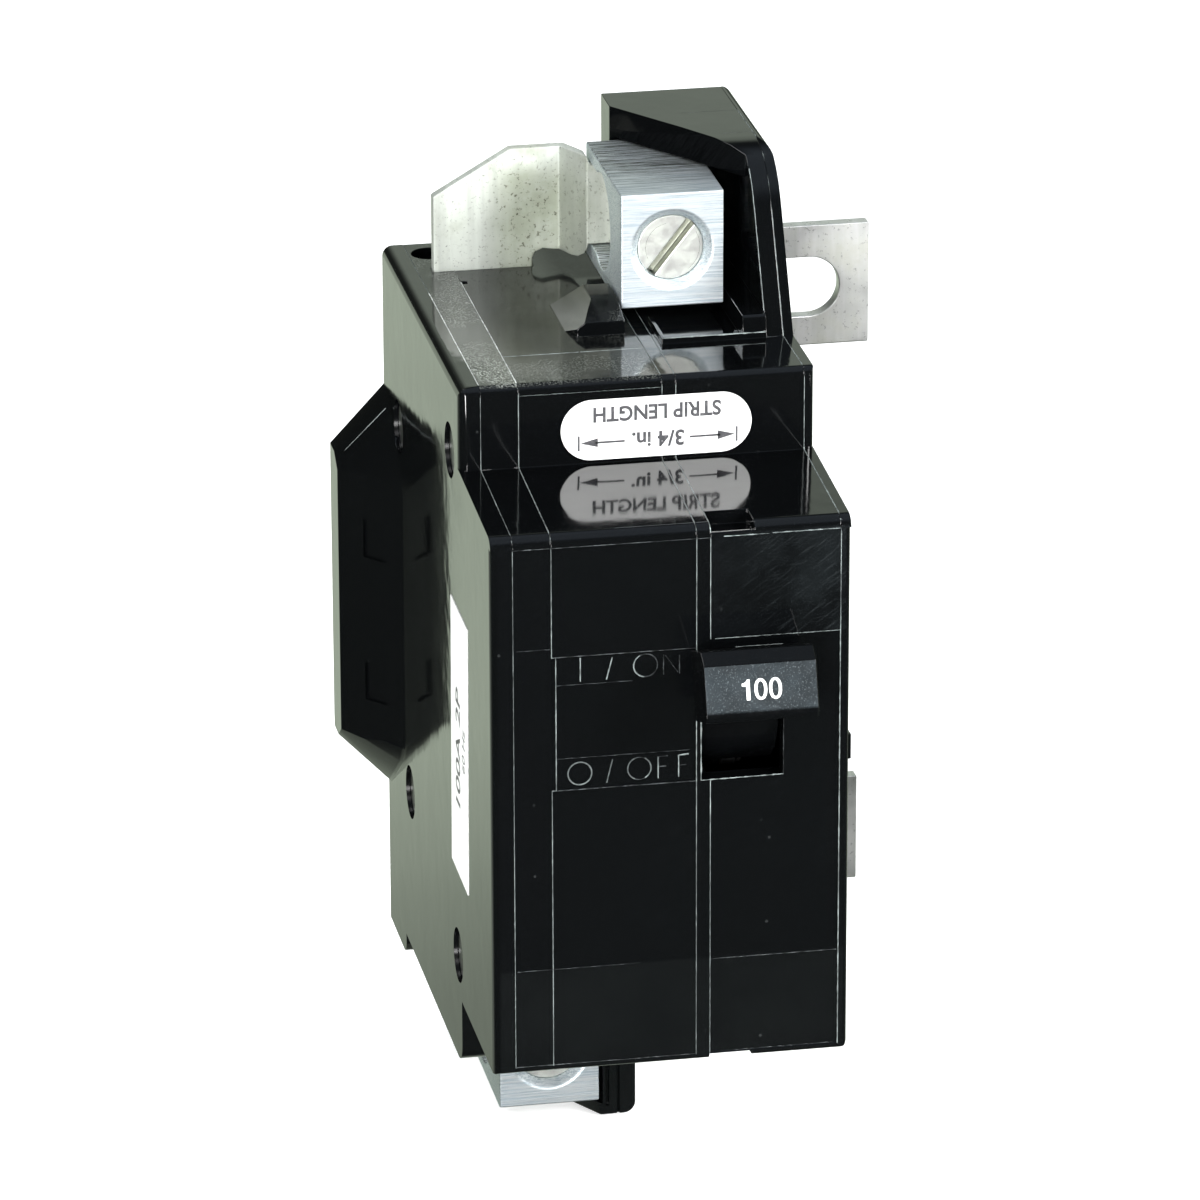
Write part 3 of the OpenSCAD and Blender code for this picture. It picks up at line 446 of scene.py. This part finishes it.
def ridge(points, side, width, height, jitter, seed, sink, step):
    """A low three-sided ridge along points (corner frame, mm); side(p) gives the outward normal.

    It is sunk into the surface by sink, and its width and crest wander by jitter at every step.
    """
    rnd = random.Random(seed)
    pts = [Vector(p) for p in points]
    fine = [pts[0]]
    for a, b in zip(pts, pts[1:]):
        n = max(1, int((b - a).length / step))
        fine += [a + (b - a) * (i / n) for i in range(1, n + 1)]
    verts, faces = [], []
    for i, p in enumerate(fine):
        t = (fine[min(i + 1, len(fine) - 1)] - fine[max(i - 1, 0)]).normalized()
        n = Vector(side(p)).normalized()
        s = t.cross(n).normalized()
        w = width * (1 + jitter * (rnd.random() - 0.5) * 2)
        off = s * (jitter * 0.12 * (rnd.random() - 0.5))
        for q in (s * (-w / 2) - n * sink, s * (w / 2) - n * sink, off + n * height):
            verts.append(mm(*(p + q)))
    k = len(fine)
    for i in range(k - 1):
        a, b = i * 3, i * 3 + 3
        for j in range(3):
            faces.append((a + j, a + (j + 1) % 3, b + (j + 1) % 3, b + j))
    faces += [(2, 1, 0), (k * 3 - 3, k * 3 - 2, k * 3 - 1)]
    return verts, faces


def text(name, words, height, width, centre, right, up, bold=0.0):
    """Plain sans lettering as a thin solid on a label; sizes in mm, centre in the corner frame."""
    cu = bpy.data.curves.new(name, "FONT")
    cu.body = words
    cu.size = 1.0
    cu.extrude = 0.5
    cu.offset = bold
    cu.resolution_u = 6
    cu.fill_mode = "BOTH"
    tmp = bpy.data.objects.new(name + "_tmp", cu)
    scene.collection.objects.link(tmp)
    dg = bpy.context.evaluated_depsgraph_get()
    me = bpy.data.meshes.new_from_object(tmp.evaluated_get(dg))
    bpy.data.objects.remove(tmp)
    me.name = name
    xs = [v.co.x for v in me.vertices]
    ys = [v.co.y for v in me.vertices]
    cx, cy = (min(xs) + max(xs)) / 2, (min(ys) + max(ys)) / 2
    kx, ky = width / (max(xs) - min(xs)), height / (max(ys) - min(ys))
    r, u = Vector(right).normalized(), Vector(up).normalized()
    n = r.cross(u)
    c = Vector(centre)
    for v in me.vertices:
        p = v.co
        lift = INK_RISE if p.z > 0 else -INK_SINK
        v.co = mm(*(c + r * ((p.x - cx) * kx) + u * ((p.y - cy) * ky) + n * lift))
    me.materials.clear()
    me.materials.append(M["label_ink"].m)
    bm = bmesh.new()
    bm.from_mesh(me)
    bmesh.ops.remove_doubles(bm, verts=bm.verts, dist=1e-8)
    bmesh.ops.recalc_face_normals(bm, faces=bm.faces)
    bm.to_mesh(me)
    bm.free()
    o = bpy.data.objects.new(name, me)
    scene.collection.objects.link(o)
    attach(o, "case")


# ---------------------------------------------------------------- rounded edges on the CAD parts
def soften(name, width, angle=38, clamp=False):
    """Rounds the edges of a CAD part when it is shown; its own mesh stays as it is."""
    me = nodes[name].data
    for layer in ("custom_normal", "sharp_edge", "sharp_face"):
        if layer in me.attributes:
            me.attributes.remove(me.attributes[layer])
    me.polygons.foreach_set("use_smooth", [True] * len(me.polygons))
    o = nodes[name]
    w = o.modifiers.new("weld", "WELD")
    w.merge_threshold = 2e-6
    d = o.modifiers.new("flats", "DECIMATE")
    d.decimate_type = "DISSOLVE"
    d.angle_limit = math.radians(0.5)
    b = o.modifiers.new("edges", "BEVEL")
    b.width = width / 1000
    b.segments = 2
    b.limit_method = "ANGLE"
    b.angle_limit = math.radians(angle)
    b.use_clamp_overlap = clamp
    n = o.modifiers.new("shading", "WEIGHTED_NORMAL")
    n.weight = 80


# the covers have rounded outer edges already: their small openings only take a clamped bevel
soften("left_cover", 0.12, clamp=True)
soften("right_cover", 0.12, clamp=True)
soften("right_case", 0.09, angle=30)
for name, width in (("left_case", 0.08), ("front_cover", 0.10), ("rear_block", 0.12),
                    ("centre_divider", 0.07), ("handle", 0.14),
                    ("upper_lug", 0.22), ("lower_lug", 0.22), ("upper_lug_screw", 0.12),
                    ("lower_lug_screw", 0.12), ("upper_strap", 0.18), ("lower_strap", 0.18),
                    ("upper_bus_tab", 0.18), ("lower_bus_tab", 0.18)):
    soften(name, width)


# ---------------------------------------------------------------- seams, worn edges, painted edge highlights and raised marks
def outline_side(p):
    """Outward normal of the case's profile at a point of a seam."""
    y, z = p[1], p[2]
    if z > TOP_Z - 0.1:
        return UP
    if y > STEP_Y - 0.4:
        return FRONT
    if z < 0.2:
        return (0, 0, -1)
    return UP if z > SHELF_Z + 1.1 else FRONT


def seam(x, back=76.4, low=0.8):
    """The path of a seam over the front, shelf and top of the case, from height low to depth back."""
    shelf = [(x, 0, low), (x, 0, 66.0), (x, 0.47, 67.25), (x, 1.6, 67.73), (x, 20.7, 68.8)]
    upper = [(x, STEP_Y, 69.1), (x, STEP_Y, 77.8), (x, 21.3, 78.6), (x, 22.2, TOP_Z), (x, back, TOP_Z)]
    return shelf + upper


def shield_side(p):
    """Outward normal along the seam of the right cover: slanted where it climbs the shield."""
    return (0, -0.78, 0.62) if 32.9 <= p[1] < 46 and p[0] > 41 and p[2] > 79.01 else outline_side(p)


def strokes(rows, side=FRONT, height=0.03, jitter=0.5, step=0.4):
    """One low ridge for each row of start, end, width and seed."""
    return [ridge((a, b), lambda p: side, width, height, jitter, seed, 0.04, step)
            for a, b, width, seed in rows]


# the seam of the left case steps aside at the switch panel; that of the right cover climbs the shield
jog = [(x, 0, z) for x, z in ((SEAM_CASE, 0.8), (SEAM_CASE, WINDOW_Z), (7.65, WINDOW_Z), (7.65, 52.6),
                              (SEAM_CASE, 52.6))]
shield = [(32.9, TOP_Z), (39.9, 92.5), (41.9, 95.6), (45.1, 98.0), (49.8, ROOF_Z), (60.5, ROOF_Z)]
# path, width and seed of each seam, from the left to the right
lines = [(seam(SEAM_LEFT), 0.12, 1),
         (jog + seam(SEAM_CASE, 60.3)[1:], 0.12, 2),
         (seam(SEAM_MID_A, 64.0), 0.11, 3),
         ([(SEAM_MID_B, 0, 0.8), (SEAM_MID_B, 0, 35.8)], 0.13, 4),
         (seam(SEAM_MID_B, 64.4, PANEL_Z), 0.14, 5),
         (seam(SEAM_RIGHT, 32.6), 0.15, 6),
         ([(SEAM_RIGHT, y, z) for y, z in shield], 0.15, 7)]
bright = [ridge(pts, shield_side, w, 0.03, 0.3, seed, 0.04, 0.45) for pts, w, seed in lines]
# window of the handle, upper edge of the right panel; the line along the panel's upper edge is a painted
# highlight
bright += strokes((((24.95, 0, WINDOW_Z), (24.95, 0, 46.0), 0.16, 8),
                   ((24.95, 0, WINDOW_Z), (34.9, 0.15, WINDOW_Z), 0.12, 9),
                   ((26.6, 0.02, PANEL_Z), (41.5, 0.02, PANEL_Z), 0.12, 10),
                   ((27.6, 0.0, 66.25), (33.0, 0.0, 66.25), 0.11, 11),
                   ((33.4, 0.0, 66.3), (41.5, 0.0, 66.3), 0.12, 12),
                   ((29.0, 0.15, 52.35), (34.7, 0.15, 52.35), 0.14, 13)), jitter=0.6)
# front cover to rear block, on the top face
bright += strokes((((7.2, 31.8, TOP_Z), (16.4, 31.8, TOP_Z), 0.13, 15),), UP, 0.02, 0.4, 0.5)
bright += strokes((((16.6, 31.8, TOP_Z), (24.3, 31.8, TOP_Z), 0.09, 16),), UP, 0.02, 0.5, 0.5)
bright += strokes((((7.3, STEP_Y, 77.75), (24.2, STEP_Y, 77.75), 0.09, 17),), FRONT, 0.02)
# inner edge of the shield, kerb, and a painted highlight along the edge of the foot's upper facet
inner = ((34.2, 81.9), (39.85, 92.5), (40.75, 94.1), (41.85, 95.6), (43.25, 96.9))
inner = [(39.45, y, z) for y, z in inner]
bright.append(ridge(inner, lambda p: (-1, -1, 0), 0.12, 0.02, 0.5, 18, 0.04, 0.45))
bright += strokes((((26.7, 32.7, 79.75), (39.4, 32.7, 79.75), 0.14, 14),), (0, -1, 1), 0.02, 0.5, 0.5)
# painted highlight: a light line where the foot's upper facet meets its front
foot = ((-5.7, 72.29, 54.0), (-0.5, 72.41, 59.18), 0.16, 44)
bright += strokes((foot,), (-0.625, -0.438, 0.647), 0.03, 0.2)
merge("worn_seams_and_highlights", bright, "wear_and_highlight_edge")
pale = strokes((((SEAM_LEFT, 22.3, TOP_Z), (SEAM_LEFT, 57.0, TOP_Z), 0.20, 41),
                ((SEAM_CASE, 22.3, TOP_Z), (SEAM_CASE, 46.0, TOP_Z), 0.19, 42),
                ((SEAM_CASE, 46.0, TOP_Z), (SEAM_CASE, 60.5, TOP_Z), 0.13, 43)), UP, 0.05, 0.35, 0.35)
merge("pale_seams", pale, "pale_edge")

faint = strokes((((3.0, 0, 53.7), (7.0, 0, 53.7), 0.10, 21),
                 ((2.9, 0, 13.2), (17.6, 0, 13.2), 0.11, 22),
                 ((2.7, 0, 0.9), (24.3, 0, 0.9), 0.16, 23),
                 ((27.5, 0.15, 0.95), (41.0, 0.15, 0.95), 0.14, 24),
                 ((7.7, 0, 52.62), (24.3, 0, 52.62), 0.12, 25),
                 ((7.7, MARKS_Y, 49.0), (16.8, MARKS_Y, 49.0), 0.11, 26),
                 ((7.7, MARKS_Y, 39.8), (23.6, MARKS_Y, 39.8), 0.12, 27),
                 ((7.7, 0, 35.88), (24.3, 0, 35.88), 0.12, 28),
                 ((34.87, 0.15, WINDOW_Z), (34.87, 0.15, 43.5), 0.12, 29),
                 ((2.7, 0, SHELF_Z), (26.0, 0, SHELF_Z), 0.10, 30)))
faint += strokes((((26.2, 0, 13.0), (41.4, 0, 13.0), 0.08, 31),), FRONT, 0.02)
faint += strokes((((34.4, 60.4, ROOF_Z), (41.2, 60.4, ROOF_Z), 0.10, 32),
                  ((37.7, 51.3, ROOF_Z), (41.4, 51.3, ROOF_Z), 0.10, 33)), UP, 0.012, 0.4, 0.5)
faint += strokes((((34.0, 32.68, TOP_Z), (41.5, 32.88, TOP_Z), 0.12, 34),), (0, -1, 1), 0.02, 0.4, 0.5)
merge("faint_seams", faint, "faint_edge")


def ring(x, z, r, y, spans, width, height=0.10, seed=1):
    """Arcs of a low ridge round (x, z), on a face at depth y; each span is a pair of angles in degrees."""
    out = []
    for i, (a, b) in enumerate(spans):
        n = max(6, int(abs(b - a) / 12))
        turns = [math.radians(a + (b - a) * k / n) for k in range(n + 1)]
        pts = [(x + r * math.cos(t), y, z + r * math.sin(t)) for t in turns]
        out.append(ridge(pts, lambda p: FRONT, width, height, 0.15, seed + i, 0.05, 0.5))
    return out


def bar(x0, z0, x1, z1, width=0.20):
    """A straight stroke of the raised marks."""
    return ridge([(x0, MARKS_Y, z0), (x1, MARKS_Y, z1)], lambda p: FRONT, width, 0.10, 0.2, 1, 0.05, 0.5)


# raised switch marks: I / ON above, O / OFF below
marks = [bar(10.6, 49.35, 10.6, 52.3), bar(14.4, 52.1, 13.7, 49.4), bar(14.4, 39.3, 13.7, 36.4)]
marks += ring(10.5, 37.8, 1.42, MARKS_Y, [(0, 360)], 0.24)
marks += ring(18.35, 50.8, 1.42, MARKS_Y, [(118, 262)], 0.20, seed=3)
marks += ring(17.6, 37.9, 1.40, MARKS_Y, [(115, 245), (-60, 62)], 0.22, seed=5)
marks += [bar(19.85, 36.5, 19.85, 39.2), bar(22.3, 36.5, 22.3, 39.15)]
marks += [bar(22.2, 39.2, 23.5, 39.3, 0.24)]
merge("switch_marks", marks, "wear_and_highlight_edge")
dim = ring(18.35, 50.8, 1.42, MARKS_Y, [(-98, 118)], 0.20, seed=4)
dim += [bar(20.5, 49.5, 20.5, 52.0), bar(20.7, 51.9, 22.2, 49.7), bar(22.4, 49.5, 22.4, 51.8)]
dim += [bar(19.95, 39.2, 21.0, 39.25), bar(19.95, 37.95, 20.8, 37.97), bar(22.4, 37.95, 23.2, 37.97)]
dim += ring(17.6, 37.9, 1.40, MARKS_Y, [(62, 115), (245, 300)], 0.16, seed=6)
merge("switch_marks_dim", dim, "faint_edge")


# ---------------------------------------------------------------- print
# middle of the grip's face, which leans back by 18 degrees
GRIP_X, GRIP_Y, GRIP_Z = 30.25, -8.99, 50.47
GRIP_SIN, GRIP_COS = 0.309, 0.951
NUMERAL_LEVELS = (-0.03, 0.02)


def on_grip(px, pz, h):
    """A point on the grip face, px right and pz up from its middle, h above it, all in mm."""
    return mm(GRIP_X + px, GRIP_Y + GRIP_SIN * pz - GRIP_COS * h, GRIP_Z + GRIP_COS * pz + GRIP_SIN * h)


def zero(cx, w, h, line):
    """A plain nought: outer and inner ovals, as a closed ring."""
    n, v, f = 28, [], []
    for level in NUMERAL_LEVELS:
        for k in (0, 1):
            for i in range(n):
                a = 2 * math.pi * i / n
                ca, sa = math.cos(a), math.sin(a)
                rx, rz = w / 2 - k * line, h / 2 - k * line * 0.85
                v.append(on_grip(cx + rx * abs(ca) ** 0.9 * (1 if ca > 0 else -1),
                                 rz * abs(sa) ** 0.9 * (1 if sa > 0 else -1), level))
    for i in range(n):
        j = (i + 1) % n
        f += [(i, j, n + j, n + i), (2 * n + i, 3 * n + i, 3 * n + j, 2 * n + j),
              (i, 2 * n + i, 2 * n + j, j), (n + i, n + j, 3 * n + j, 3 * n + i)]
    return v, f


one = [(-1.80, -1.22), (-1.36, -1.22), (-1.36, 1.22), (-1.66, 1.22), (-1.80, 0.97), (-2.0, 0.83),
       (-2.3, 0.77), (-2.3, 0.43), (-1.80, 0.43)]
one_verts = [on_grip(px, pz, level) for level in NUMERAL_LEVELS for px, pz in one]
merge("handle_number",
      [(one_verts, prism_faces(len(one))), zero(-0.08, 1.52, 2.50, 0.37), zero(1.66, 1.52, 2.50, 0.37)],
      "numeral_white", "handle")

# the gauge label is read from above: its lettering is upside down
GAUGE_Y = STEP_Y - 0.08
ARROW_Z = 71.35
LEFT, DOWN = (-1, 0, 0), (0, 0, -1)
text("gauge_caption", "STRIP LENGTH", 1.95, 15.4, (23.8, GAUGE_Y, 74.8), LEFT, DOWN, 0.03)
text("gauge_size", "3/4 in.", 2.0, 6.3, (23.9, GAUGE_Y, ARROW_Z), LEFT, DOWN, 0.028)
arrows = []
for x, d, stop in ((14.35, 1, 19.9), (33.4, -1, 27.7)):
    outlines = [[(x - 0.12, 70.4), (x + 0.12, 70.4), (x + 0.12, 72.3), (x - 0.12, 72.3)],
                [(x + d * 2.0, 71.22), (stop, 71.22), (stop, 71.48), (x + d * 2.0, 71.48)],
                [(x + d * 0.15, ARROW_Z), (x + d * 2.3, 70.78), (x + d * 2.3, 71.92)]]
    for pts in outlines:
        v = [mm(px, y, pz) for y in (GAUGE_Y + INK_SINK, GAUGE_Y - INK_RISE) for px, pz in pts]
        arrows.append((v, prism_faces(len(pts))))
merge("gauge_arrows", arrows, "label_ink")

# lines on the side label, read from the bottom up; the label leans by 1.6 degrees
LEAN = math.radians(1.6)
SIDE_UP = Vector((0, -math.sin(LEAN), math.cos(LEAN)))
SIDE_ACROSS = Vector((0, math.cos(LEAN), math.sin(LEAN)))
SIDE_MIDDLE = Vector((-0.08, 22.3, 33.6))
for name, words, height, width, along, across, bold in (
        ("side_rating", "100A 2P", 3.0, 15.0, -0.6, 0.9, 0.01),
        ("side_voltage", "60 Hz", 1.9, 5.6, 0.4, -2.9, 0.0)):
    centre = SIDE_MIDDLE + SIDE_UP * along + SIDE_ACROSS * across
    text(name, words, height, width, centre, SIDE_UP, SIDE_ACROSS, bold)

# ---------------------------------------------------------------- marks on the screw faces
for screw, body, turn in (("upper_lug_screw", "upper_screw", 0), ("lower_lug_screw", "lower_screw", 28)):
    lo, hi = [Vector(p) * 1000 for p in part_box(screw)]
    mid = (lo + hi) / 2 + Vector((ORIGIN_X, 0, ORIGIN_Z))
    face_y = lo.y + ORIGIN_Y
    arcs = ring(mid.x, mid.z, 3.05, face_y, [(100 + turn, 205 + turn)], 0.16, 0.02, 61)
    arcs += ring(mid.x, mid.z, 3.62, face_y, [(-52 + turn, 30 + turn)], 0.13, 0.02, 63)
    merge(screw.replace("lug_screw", "screw_marks"), arcs, "groove_dark", body)


# ---------------------------------------------------------------- springs
def coil(name, node_name, x0, x1, y, z, r, wire, turns, body):
    """A wound spring along x from x0 to x1, in place of the plain CAD rings; wire is its radius."""
    n, k = int(turns * 28), 10
    verts, faces = [], []
    for i in range(n + 1):
        f = i / n
        a = 2 * math.pi * turns * f
        x = x0 + wire + (x1 - x0 - 2 * wire) * f
        c = Vector((x, y + r * math.cos(a), z + r * math.sin(a)))
        out = Vector((0, math.cos(a), math.sin(a)))
        for j in range(k):
            b = 2 * math.pi * j / k
            q = c + out * (wire * math.cos(b)) + Vector((1, 0, 0)) * (wire * math.sin(b))
            verts.append(mm(*q))
    for i in range(n):
        for j in range(k):
            faces.append((i * k + j, i * k + (j + 1) % k, (i + 1) * k + (j + 1) % k, (i + 1) * k + j))
    faces += [tuple(range(k - 1, -1, -1)), tuple(range(n * k, n * k + k))]
    o = add(name, verts, faces, "spring_steel", body, smooth=True)
    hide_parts(node_name)


coil("wound_handle_spring", "handle_spring", 35.1, 38.6, 10.6, 44.1, 3.84, 0.4, 4, "case")
coil("wound_contact_spring_left", "contact_spring_left", 18.6, 22.1, 50, 30, 3.92, 0.4, 4, "contacts")
coil("wound_contact_spring_right", "contact_spring_right", 36.75, 39.15, 50, 30, 3.92, 0.4, 3, "contacts")
coil("wound_trip_spring", "trip_bar_spring", 19.25, 23.15, 44, 14, 3.0, 0.35, 5, "case")


# ---------------------------------------------------------------- stage
FLOOR_Z = cad_box[0][2] - 0.0002


def plane(name, corners, finish):
    """A level piece of the set at the floor's height, which isn't part of the object; corners in metres."""
    me = bpy.data.meshes.new(name)
    me.from_pydata([(x, y, FLOOR_Z) for x, y in corners], [], [(0, 1, 2, 3)])
    me.materials.append(finish.m)
    o = bpy.data.objects.new(name, me)
    scene.collection.objects.link(o)
    return o


m = Mat("floor_white", (0.9, 0.9, 0.9), 0.9)
m.b.inputs["Emission Color"].default_value = (1, 1, 1, 1)
m.b.inputs["Emission Strength"].default_value = 0.62
floor = plane("floor", ((-6, -6), (6, -6), (6, 6), (-6, 6)), m)
floor.visible_glossy = False

# a long lens, from the front left and above
cam = bpy.data.cameras.new("camera")
cam.lens = 237.87
cam.sensor_width = 36
cam.clip_start = 0.01
cam_o = bpy.data.objects.new("camera", cam)
scene.collection.objects.link(cam_o)
CAMERA_PLACE = (-0.16834, -0.92413, 0.35024)
CAMERA_TURN = Matrix(((0.98246, 0.06844, -0.17346), (-0.18645, 0.34564, -0.91966),
                      (-0.00298, 0.93587, 0.35234)))
cam_o.matrix_world = Matrix.Translation(CAMERA_PLACE) @ CAMERA_TURN.to_4x4()
scene.camera = cam_o


def area(name, loc, size, watts):
    """A round light that is turned to the middle of the case."""
    li = bpy.data.lights.new(name, "AREA")
    li.shape = "DISK"
    li.size = size
    li.energy = watts
    o = bpy.data.objects.new(name, li)
    scene.collection.objects.link(o)
    d = Vector((0, -0.04, 0.0)) - Vector(loc)
    o.matrix_world = Matrix.Translation(loc) @ d.to_track_quat("-Z", "Y").to_matrix().to_4x4()


area("front", (-0.50, -1.34, 0.12), 0.45, 20)
area("key", (-0.80, -0.95, 0.95), 0.40, 10)
area("fill", (0.95, -0.85, 0.60), 0.55, 31)
area("top", (-0.35, 0.35, 1.3), 0.6, 5)

# the pale table behind, seen only in the gloss of the left wall: a painted contact shadow darkens it close
# to the case
m = Mat("table_gloss", (0, 0, 0), 1.0)
m.b.inputs["Emission Color"].default_value = (0.875, 1.0, 0.80, 1)
# painted shadow: the card's glow falls off close to the case
contact_shadow_ramp = m.ramp(m.pos(1), -0.005, 0.115, 0.36, 0.82)
m.set("Emission Strength", m.math("MULTIPLY", contact_shadow_ramp, m.ramp(m.noise(9, 3), 0.3, 0.7, 0.92, 1.04)))
card = plane("table_gloss", ((-0.055, -0.03), (0.2, -0.03), (0.2, 5), (-2.5, 5)), m)
card.visible_camera = False
card.visible_diffuse = False
card.visible_shadow = False
card.visible_transmission = False

world = bpy.data.worlds.new("studio")
scene.world = world
world.use_nodes = True
t = world.node_tree
background = t.nodes["Background"]
coords = t.nodes.new("ShaderNodeTexCoord")
way = t.nodes.new("ShaderNodeSeparateXYZ")
t.links.new(coords.outputs["Generated"], way.inputs[0])


def world_ramp(axis, a, b, lo, hi):
    """lo where the direction's part along an axis is at a, hi where it is at b."""
    n = t.nodes.new("ShaderNodeMapRange")
    n.interpolation_type = "SMOOTHSTEP"
    t.links.new(way.outputs[axis], n.inputs["Value"])
    for k, v in (("From Min", a), ("From Max", b), ("To Min", lo), ("To Max", hi)):
        n.inputs[k].default_value = v
    return n.outputs["Result"]


def world_math(op, a, b):
    n = t.nodes.new("ShaderNodeMath")
    n.operation = op
    for i, v in enumerate((a, b)):
        if isinstance(v, bpy.types.NodeSocket):
            t.links.new(v, n.inputs[i])
        else:
            n.inputs[i].default_value = v
    return n.outputs[0]


# the room: a glow behind the case, low and to the right, and a dim bluish one overhead
behind = world_ramp("Y", 0.10, 0.85, 0.0, 1.0)
low = world_ramp("Z", -0.26, 0.06, 0.80, 0.0)
right = world_math("MULTIPLY", world_ramp("X", -0.30, 0.14, 0.0, 1.0),
                   world_ramp("Z", 0.05, 0.25, 0.0, 0.62))
right = world_math("MULTIPLY", right, world_ramp("Z", 0.42, 0.6, 1.0, 0.0))
high = world_ramp("Z", 0.66, 0.90, 0.0, 0.36)
glow = world_math("ADD", world_math("MULTIPLY", behind, world_math("ADD", low, right)), 0.045)
t.links.new(world_math("ADD", glow, high), background.inputs["Strength"])
tint = t.nodes.new("ShaderNodeMix")
tint.data_type = "RGBA"
tint.inputs[6].default_value = (0.88, 1.0, 0.84, 1)
tint.inputs[7].default_value = (0.72, 0.85, 1.0, 1)
t.links.new(world_ramp("Z", 0.5, 0.75, 0.0, 1.0), tint.inputs[0])
t.links.new(tint.outputs[2], background.inputs["Color"])

scene.view_settings.view_transform = "Standard"
scene.view_settings.look = "None"
